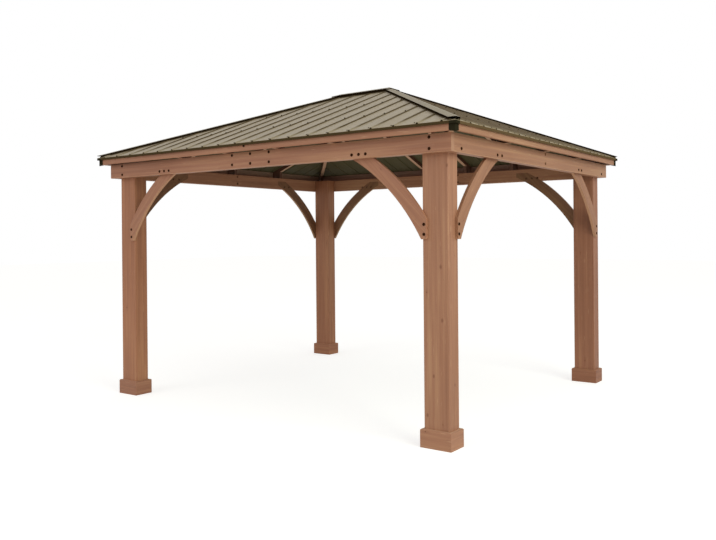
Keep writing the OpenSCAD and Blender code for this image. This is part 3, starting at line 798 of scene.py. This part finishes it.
def set_down(name, shape, places, material):
    """One piece that holds a copy of a shape at each place, a matrix that turns +Z out of the board."""
    bm = bmesh.new()
    for place in places:
        before = len(bm.verts)
        bm.from_mesh(shape)
        bm.verts.ensure_lookup_table()
        bmesh.ops.transform(bm, matrix=place, verts=bm.verts[before:])
    print(len(places), "copies in", end=" ")
    hand_over(bm, name, material)


# %% [markdown]
# ## Where the bolts go
# The places were read from the photograph and turned into distances along the boards. A long beam has a
# pair over each post, three bolts through the head of each brace, and three columns of two across the
# splice at mid span. The short beams have fewer, and the two at their middle are paler. Two more go
# through the tongue of each brace into the post, and one fixes the long fascia at its middle. Bolts that
# pass right through the two boards of a beam end in a nut on the inner face. The same lists serve opposite
# sides, so nothing has to be placed twice.

# %% Bolt places
SIDES = {"front": (0, -1), "back": (0, 1), "left": (-1, 0), "right": (1, 0)}
BRACE_ROW = 31 * MM
LONG_REACH, SHORT_REACH = (0.475, 0.542, 0.610), (0.530, 0.610)
SPLICE_X, SPLICE_Z = (-0.239, -0.015, 0.207), (0.034, 0.118)
TONGUE_IN, TONGUE_Z = 26 * MM, (-0.525, -0.599)
FASCIA_FACE = -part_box("front_fascia")[0].y
FASCIA_FIX = Vector((-0.017, 0, 2.376))
LOW_ROW, HIGH_ROW = 30 * MM, 115 * MM

long_through = [(hand * (POST_IN_X - reach), BRACE_ROW) for hand in (-1, 1) for reach in LONG_REACH]
long_through += [(x, z) for x in SPLICE_X for z in SPLICE_Z]
long_post = [(hand * (POST_X - 5 * MM), z) for hand in (-1, 1) for z in (LOW_ROW, HIGH_ROW)]
short_through = [(hand * (POST_IN_Y - reach), BRACE_ROW) for hand in (-1, 1) for reach in SHORT_REACH]
short_middle = [(25 * MM, 33 * MM), (25 * MM, HIGH_ROW)]
short_post = [(hand * (POST_Y - 10 * MM), LOW_ROW) for hand in (-1, 1)]
print(len(long_through) + len(long_post), "bolts on a long beam,",
      len(short_through) + len(short_middle) + len(short_post), "on a short one")


# %% Beam bolts, brace bolts and nuts
def on_side(out, along, above, depth):
    """A point along one side, above the foot of its beam, and a depth out from the middle of the gazebo."""
    return out * depth + Vector((abs(out.y), abs(out.x), 0)) * along + Vector((0, 0, BEAM_Z + above))


for side, (out_x, out_y) in SIDES.items():
    out = Vector((out_x, out_y, 0))
    if out_y:
        marks, through, pale_marks = long_through + long_post, long_through, []
        face, tongue = BEAM_FRONT, POST_IN_X + TONGUE_IN
    else:
        marks, through, pale_marks = short_through + short_post, short_through + short_middle, short_middle
        face, tongue = BEAM_SIDE, POST_IN_Y + TONGUE_IN
    heads = [facing(on_side(out, a, z, face), out) for a, z in marks]
    heads += [facing(on_side(out, hand * tongue, z, face - BEAM_BOARD), out)
              for hand in (-1, 1) for z in TONGUE_Z]
    if out_y:
        heads.append(facing(FASCIA_FIX + out * FASCIA_FACE, out))
    set_down(f"{side}_bolts", bolt_head, heads, bolt_steel)
    if pale_marks:
        heads = [facing(on_side(out, a, z, face), out) for a, z in pale_marks]
        set_down(f"{side}_middle_bolts", bolt_head, heads, nut_steel)
    nuts = [facing(on_side(out, a, z, face - BEAM_BOARD - BRACE_BOARD), -out) for a, z in through]
    set_down(f"{side}_nuts", nut_shape, nuts, nut_steel)

# %% [markdown]
# ## Roof screws
# Screws with a hexagon head and a washer hold the sheet in two rows on its ribs and in a row beside them
# along the eave. Each slope is worked in its own frame, in which it falls towards -Y from a ridge line over
# the origin, and a matrix turns it to its side of the roof. That way one loop serves all four slopes.

# %% The four slopes
SLOPES = {"front": (0, 0.0, EAVE_X), "right": (90, RIDGE_HALF, EAVE_Y),
          "back": (180, 0.0, EAVE_X), "left": (270, RIDGE_HALF, EAVE_Y)}
slope_out = Vector((0, -math.sin(PITCH), math.cos(PITCH)))


def slope_to_roof(degrees, shift):
    """The matrix from a slope's own frame to its side of the roof."""
    return Matrix.Rotation(math.radians(degrees), 4, "Z") @ Matrix.Translation((0, -shift, 0))


def on_slope(x, from_eave, lift):
    """Sets a screw down in a slope's own frame, lifted off the pan along its normal."""
    y = -(EAVE_Y - from_eave)
    return facing(Vector((x, y, RIDGE_Z + y * math.tan(PITCH))) + slope_out * lift, slope_out)


# %% Screws for the four slopes
SCREW_ROWS = (0.49, 1.055)
EAVE_ROW, EAVE_SIDE, EAVE_END = 25 * MM, 35 * MM, 160 * MM
CAP_REACH, CAP_CLEAR = 46 * MM, 20 * MM
DIAGONAL = math.sqrt(0.5)
for side, (degrees, shift, half_len) in SLOPES.items():
    to_roof = slope_to_roof(degrees, shift)
    count = int((half_len - RIB_FOOT) / RIB_PITCH - 0.5)
    ribs = [(i + 0.5) * RIB_PITCH for i in range(-count - 1, count + 1)]
    places = [to_roof @ on_slope(rib, row, RIB_H) for rib in ribs for row in SCREW_ROWS
              if abs(rib) < half_len - row - CAP_REACH / DIAGONAL - CAP_CLEAR]
    eave_places = [to_roof @ on_slope(rib - EAVE_SIDE, EAVE_ROW, 0) for rib in ribs
                   if abs(rib - EAVE_SIDE) < half_len - EAVE_END]
    set_down(f"{side}_roof_screws", screw_shape, places, screw_steel)
    set_down(f"{side}_eave_screws", eave_screw_shape, eave_places, screw_steel)

# %% [markdown]
# ## Closures
# Under the edges of the caps, strips of foam close the gaps between the ribs. Their dark taupe is painted
# shade, the colour of the pan in the shade of the gap, and with the caps' near-black lips they draw the dark
# lines along the hips and the ridge. Each strip is a flat outline raised to the height of a rib. A slope's
# strips are drawn level, as that keeps the sums simple, and then one matrix shears them onto the slope.

# %% Foam for the four slopes
FOAM_IN, FOAM_OUT = CAP_REACH - 20 * MM, CAP_REACH - 1 * MM
FOAM_H = RIB_LIFT - 0.3 * MM
EAVE_CLEAR, RIDGE_CLEAR = 4 * MM, 20 * MM
HIP_START, PEAK_START = 30 * MM, 120 * MM
lean = Matrix(((1, 0, 0, 0), (0, 1, 0, 0), (0, math.tan(PITCH), 1, RIDGE_Z), (0, 0, 0, 1)))


def foam_strip(bm, corners):
    """A strip of foam over four plan points, as high as the ribs."""
    raise_face(bm, bm.faces.new([bm.verts.new((x, y, 0)) for x, y in corners]), FOAM_H)


def hip_line(half_top, hand, along, inset):
    """A plan point a distance down a hip line, set in from it towards the slope."""
    return (hand * (half_top + (along - inset) * DIAGONAL), -(along + inset) * DIAGONAL)


for side, (degrees, shift, half_len) in SLOPES.items():
    bm = bmesh.new()
    half_top = half_len - EAVE_Y
    start = HIP_START if half_top > 0 else PEAK_START
    end = (EAVE_Y - EAVE_CLEAR) / DIAGONAL
    for hand in (-1, 1):
        stretch = ((start, FOAM_IN), (end - FOAM_IN, FOAM_IN), (end - FOAM_OUT, FOAM_OUT), (start, FOAM_OUT))
        foam_strip(bm, [hip_line(half_top, hand, along, inset) for along, inset in stretch])
    if half_top > 0:
        half = half_top - RIDGE_CLEAR
        foam_strip(bm, [(-half, -FOAM_IN), (half, -FOAM_IN), (half, -FOAM_OUT), (-half, -FOAM_OUT)])
    bmesh.ops.transform(bm, matrix=slope_to_roof(degrees, shift) @ lean, verts=bm.verts)
    bmesh.ops.recalc_face_normals(bm, faces=bm.faces)
    hand_over(bm, f"{side}_closures", closure_foam)
